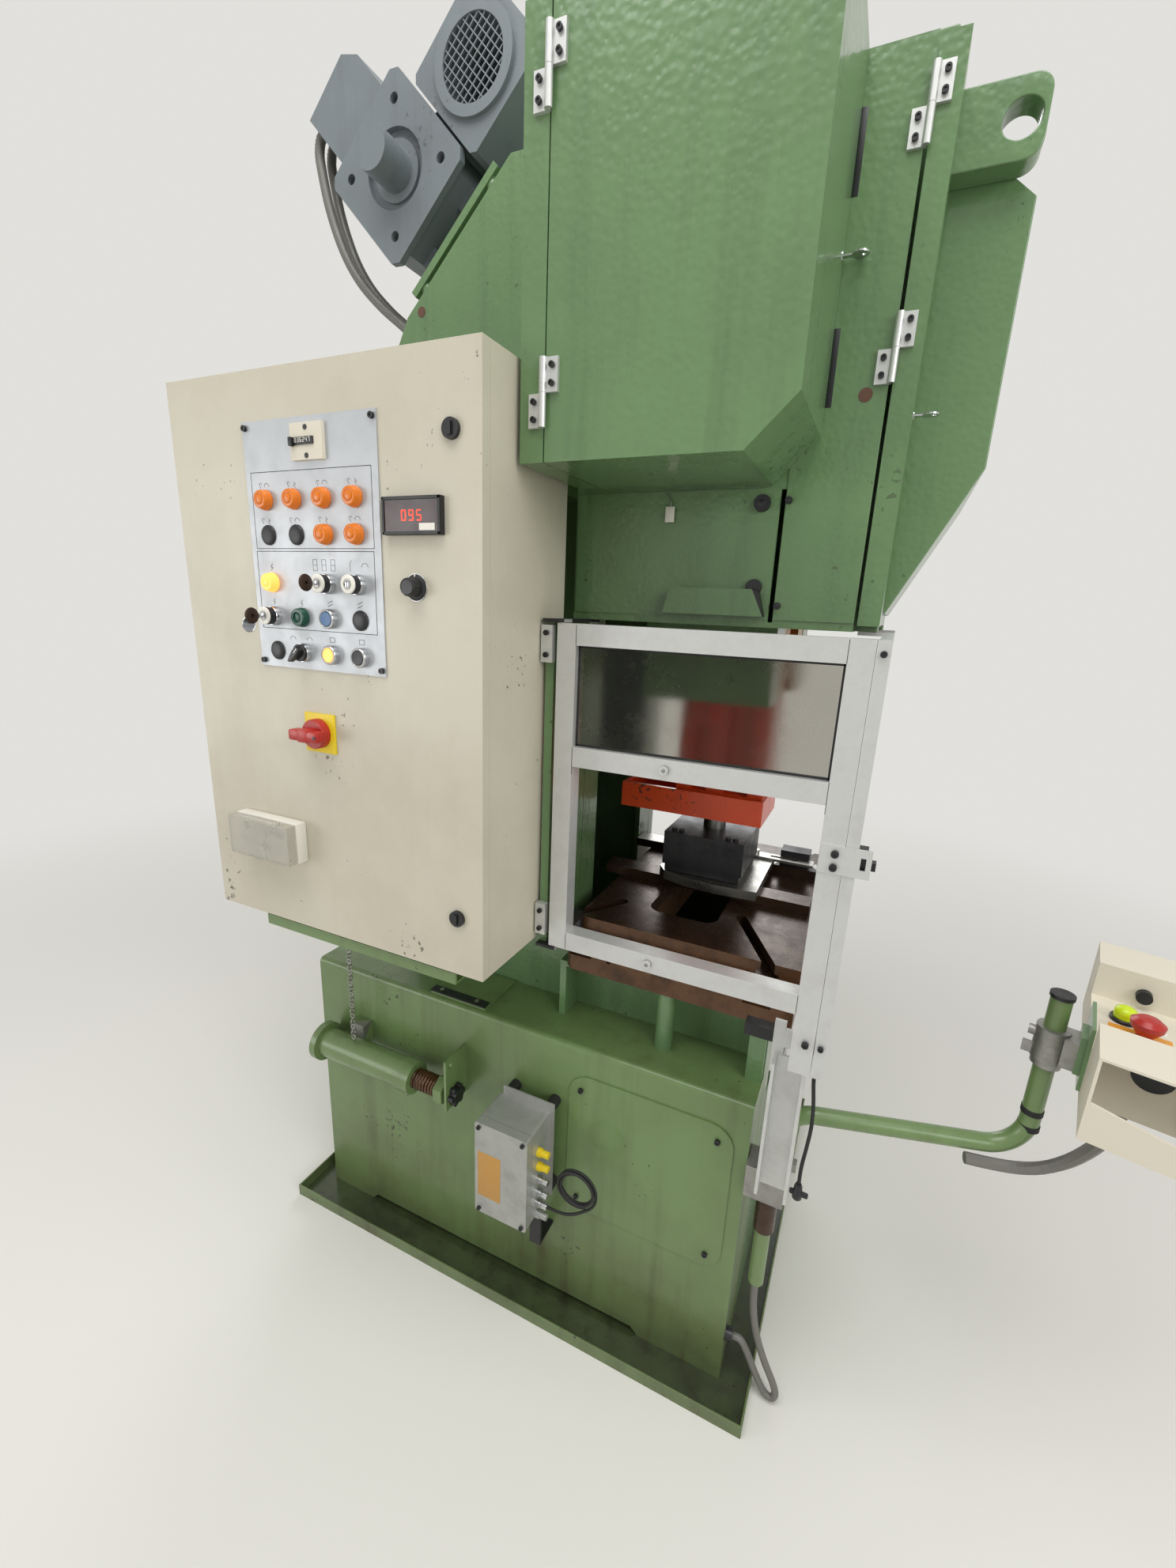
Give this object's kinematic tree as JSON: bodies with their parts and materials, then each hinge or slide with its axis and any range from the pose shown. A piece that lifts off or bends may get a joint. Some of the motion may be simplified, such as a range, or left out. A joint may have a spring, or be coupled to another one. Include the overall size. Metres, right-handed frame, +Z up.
{
  "type": "mechanical stamping press",
  "caption": "C-frame mechanical stamping press: crank-driven slide over a bolster, hinged clear guard, wall cabinet of controls, belt drive from a rear motor and a swing-arm control station.",
  "frame": {"origin": "middle of the drip tray's underside, on the floor", "axes": "+Z up; +X towards the press's own front, where the control station's arm reaches; -Y is the side with the cabinet and the guard door"},
  "size_m": [1.785, 1.174, 2.5294],
  "materials": {
    "green_paint": "satin",
    "cream_paint": "satin",
    "aluminium": "satin",
    "machined_steel": "satin",
    "oiled_iron": "rough",
    "dark_iron": "satin",
    "bronze": "satin",
    "orange_paint": "satin",
    "motor_grey": "satin",
    "black_rubber": "matte",
    "grey_conduit": "matte",
    "smoked_pane": "gloss",
    "black_plastic": "satin",
    "cream_plastic": "gloss",
    "amber_lens": "gloss",
    "blue_plastic": "gloss",
    "yellow_lens": "gloss",
    "red_plastic": "gloss"
  },
  "bodies": {
    "frame": {"drip_tray": "green_paint", "base_box": "green_paint", "side_plate_near": "green_paint", "side_plate_far": "green_paint", "back_wall": "green_paint", "motor_bed": "green_paint", "frame_crossmembers": "green_paint", "table": "oiled_iron", "bolster": "oiled_iron", "lower_die_set": "machined_steel", "head_cover": "green_paint", "front_hood": "green_paint", "belt_guard": "green_paint", "gibs_and_bushes": "bronze", "motor": "motor_grey", "motor_blower": "motor_grey", "v_belts": "black_rubber", "cabinet_body": "cream_paint", "cabinet_shelf": "green_paint", "guard_fixed_frame": "aluminium", "guard_side_window": "smoked_pane", "junction_box": "aluminium", "tension_tube": "green_paint", "arm_clamp": "machined_steel", "motor_conduits": "grey_conduit", "arm_conduit": "grey_conduit", "junction_cable": "black_rubber", "cable_coil": "black_rubber", "switch_cable": "black_rubber", "wing_plug": "black_rubber"},
    "head_lid": {"head_lid": "green_paint"},
    "head_lid_key": {"head_lid_key": "machined_steel"},
    "side_door": {"side_door": "green_paint"},
    "side_door_key": {"side_door_key": "machined_steel"},
    "guard_door": {"guard_door_frame": "aluminium", "guard_window": "smoked_pane"},
    "cabinet_door": {"cabinet_door": "cream_paint", "control_panel": "aluminium", "panel_lamps": "amber_lens", "panel_fittings": "black_plastic"},
    "timer_cover": {"timer_cover": "cream_plastic"},
    "button_blue": {"button_blue": "blue_plastic"},
    "button_lit": {"button_lit": "yellow_lens"},
    "button_black": {"button_black": "black_plastic"},
    "selector_knob": {"selector_knob": "black_plastic"},
    "key_switch": {"key_switch": "machined_steel"},
    "key_switch_ringed": {"key_switch_ringed": "machined_steel"},
    "potentiometer_knob": {"potentiometer_knob": "black_plastic"},
    "main_switch_knob": {"main_switch_knob": "red_plastic"},
    "slide": {"slide": "orange_paint", "upper_die": "dark_iron"},
    "crankshaft": {"crankshaft": "machined_steel"},
    "conrod": {"conrod": "machined_steel"},
    "flywheel": {"flywheel": "dark_iron"},
    "motor_pulley": {"motor_pulley": "dark_iron"},
    "arm": {"arm_tube": "green_paint", "control_station": "cream_paint"},
    "estop_button": {"estop_button": "red_plastic"},
    "palm_button_near": {"palm_button_near": "black_plastic"},
    "palm_button_far": {"palm_button_far": "black_plastic"}
  },
  "joints": [
    {"name": "lid_hinge", "type": "hinge", "parent": "frame", "child": "head_lid", "pos_m": [0.151, -0.565, 1.9], "axis": [0, 0, 1], "range_deg": [-95, 0]},
    {"name": "lid_key_turn", "type": "hinge", "parent": "head_lid", "child": "head_lid_key", "pos_m": [0.479, -0.357, 1.961], "axis": [1, 0, 0], "range_deg": [-90, 90]},
    {"name": "side_door_hinge", "type": "hinge", "parent": "frame", "child": "side_door", "pos_m": [0.5595, -0.351, 1.9], "axis": [0, 0, 1], "range_deg": [-110, 0]},
    {"name": "side_key_turn", "type": "hinge", "parent": "side_door", "child": "side_door_key", "pos_m": [0.592, -0.277, 1.786], "axis": [1, 0, 0], "range_deg": [-90, 90]},
    {"name": "guard_hinge", "type": "hinge", "parent": "frame", "child": "guard_door", "pos_m": [0.142, -0.47, 1.2], "axis": [0, 0, 1], "range_deg": [-85, 0]},
    {"name": "cabinet_hinge", "type": "hinge", "parent": "frame", "child": "cabinet_door", "pos_m": [-0.5005, -0.619, 1.3], "axis": [0, 0, 1], "range_deg": [-120, 0]},
    {"name": "timer_cover_hinge", "type": "hinge", "parent": "cabinet_door", "child": "timer_cover", "pos_m": [-0.33, -0.669, 1.127], "axis": [1, 0, 0], "range_deg": [-100, 0]},
    {"name": "blue_press", "type": "slide", "parent": "cabinet_door", "child": "button_blue", "axis": [0, 1, 0], "range_m": [0, 0.0035], "stiffness_N_per_m": 800, "springref_m": -0.002},
    {"name": "lit_press", "type": "slide", "parent": "cabinet_door", "child": "button_lit", "axis": [0, 1, 0], "range_m": [0, 0.0035], "stiffness_N_per_m": 800, "springref_m": -0.002},
    {"name": "black_press", "type": "slide", "parent": "cabinet_door", "child": "button_black", "axis": [0, 1, 0], "range_m": [0, 0.0035], "stiffness_N_per_m": 800, "springref_m": -0.002},
    {"name": "selector_turn", "type": "hinge", "parent": "cabinet_door", "child": "selector_knob", "pos_m": [-0.2275, -0.637, 1.417], "axis": [0, 1, 0], "range_deg": [0, 90]},
    {"name": "key_turn", "type": "hinge", "parent": "cabinet_door", "child": "key_switch", "pos_m": [-0.168, -0.637, 1.522], "axis": [0, 1, 0], "range_deg": [-45, 45]},
    {"name": "ringed_key_turn", "type": "hinge", "parent": "cabinet_door", "child": "key_switch_ringed", "pos_m": [-0.287, -0.637, 1.471], "axis": [0, 1, 0], "range_deg": [-45, 45]},
    {"name": "speed_turn", "type": "hinge", "parent": "cabinet_door", "child": "potentiometer_knob", "pos_m": [-0.004, -0.637, 1.521], "axis": [0, 1, 0], "range_deg": [-150, 150]},
    {"name": "main_switch_turn", "type": "hinge", "parent": "cabinet_door", "child": "main_switch_knob", "pos_m": [-0.206, -0.637, 1.29], "axis": [0, 1, 0], "range_deg": [0, 90]},
    {"name": "slide_stroke", "type": "slide", "parent": "frame", "child": "slide", "axis": [0, 0, 1], "range_m": [0, 0.06]},
    {"name": "crank_spin", "type": "hinge", "parent": "frame", "child": "crankshaft", "pos_m": [0.31, 0, 1.9], "axis": [0, 1, 0], "continuous": true},
    {"name": "conrod_pin", "type": "hinge", "parent": "crankshaft", "child": "conrod", "pos_m": [0.31, 0, 1.87], "axis": [0, 1, 0], "continuous": true},
    {"name": "flywheel_spin", "type": "hinge", "parent": "frame", "child": "flywheel", "pos_m": [0.31, 0.315, 1.9], "axis": [0, 1, 0], "continuous": true},
    {"name": "motor_spin", "type": "hinge", "parent": "frame", "child": "motor_pulley", "pos_m": [-0.36185, 0.2, 2.2822], "axis": [0, 1, 0], "continuous": true},
    {"name": "arm_swing", "type": "hinge", "parent": "frame", "child": "arm", "pos_m": [0.556, -0.385, 0.5], "axis": [0, 0, 1], "range_deg": [-45, 35]},
    {"name": "estop_press", "type": "slide", "parent": "arm", "child": "estop_button", "axis": [0, 0, -1], "range_m": [0, 0.005]},
    {"name": "palm_near_press", "type": "slide", "parent": "arm", "child": "palm_button_near", "axis": [0.225, 0.9744, 0], "range_m": [0, 0.006], "stiffness_N_per_m": 800, "springref_m": -0.002},
    {"name": "palm_far_press", "type": "slide", "parent": "arm", "child": "palm_button_far", "axis": [-0.225, -0.9744, 0], "range_m": [0, 0.006], "stiffness_N_per_m": 800, "springref_m": -0.002}
  ],
  "couplings": [
    {"joint": "conrod_pin", "follows": "crank_spin", "ratio": -1},
    {"joint": "motor_spin", "follows": "flywheel_spin", "ratio": 5.0196}
  ]
}
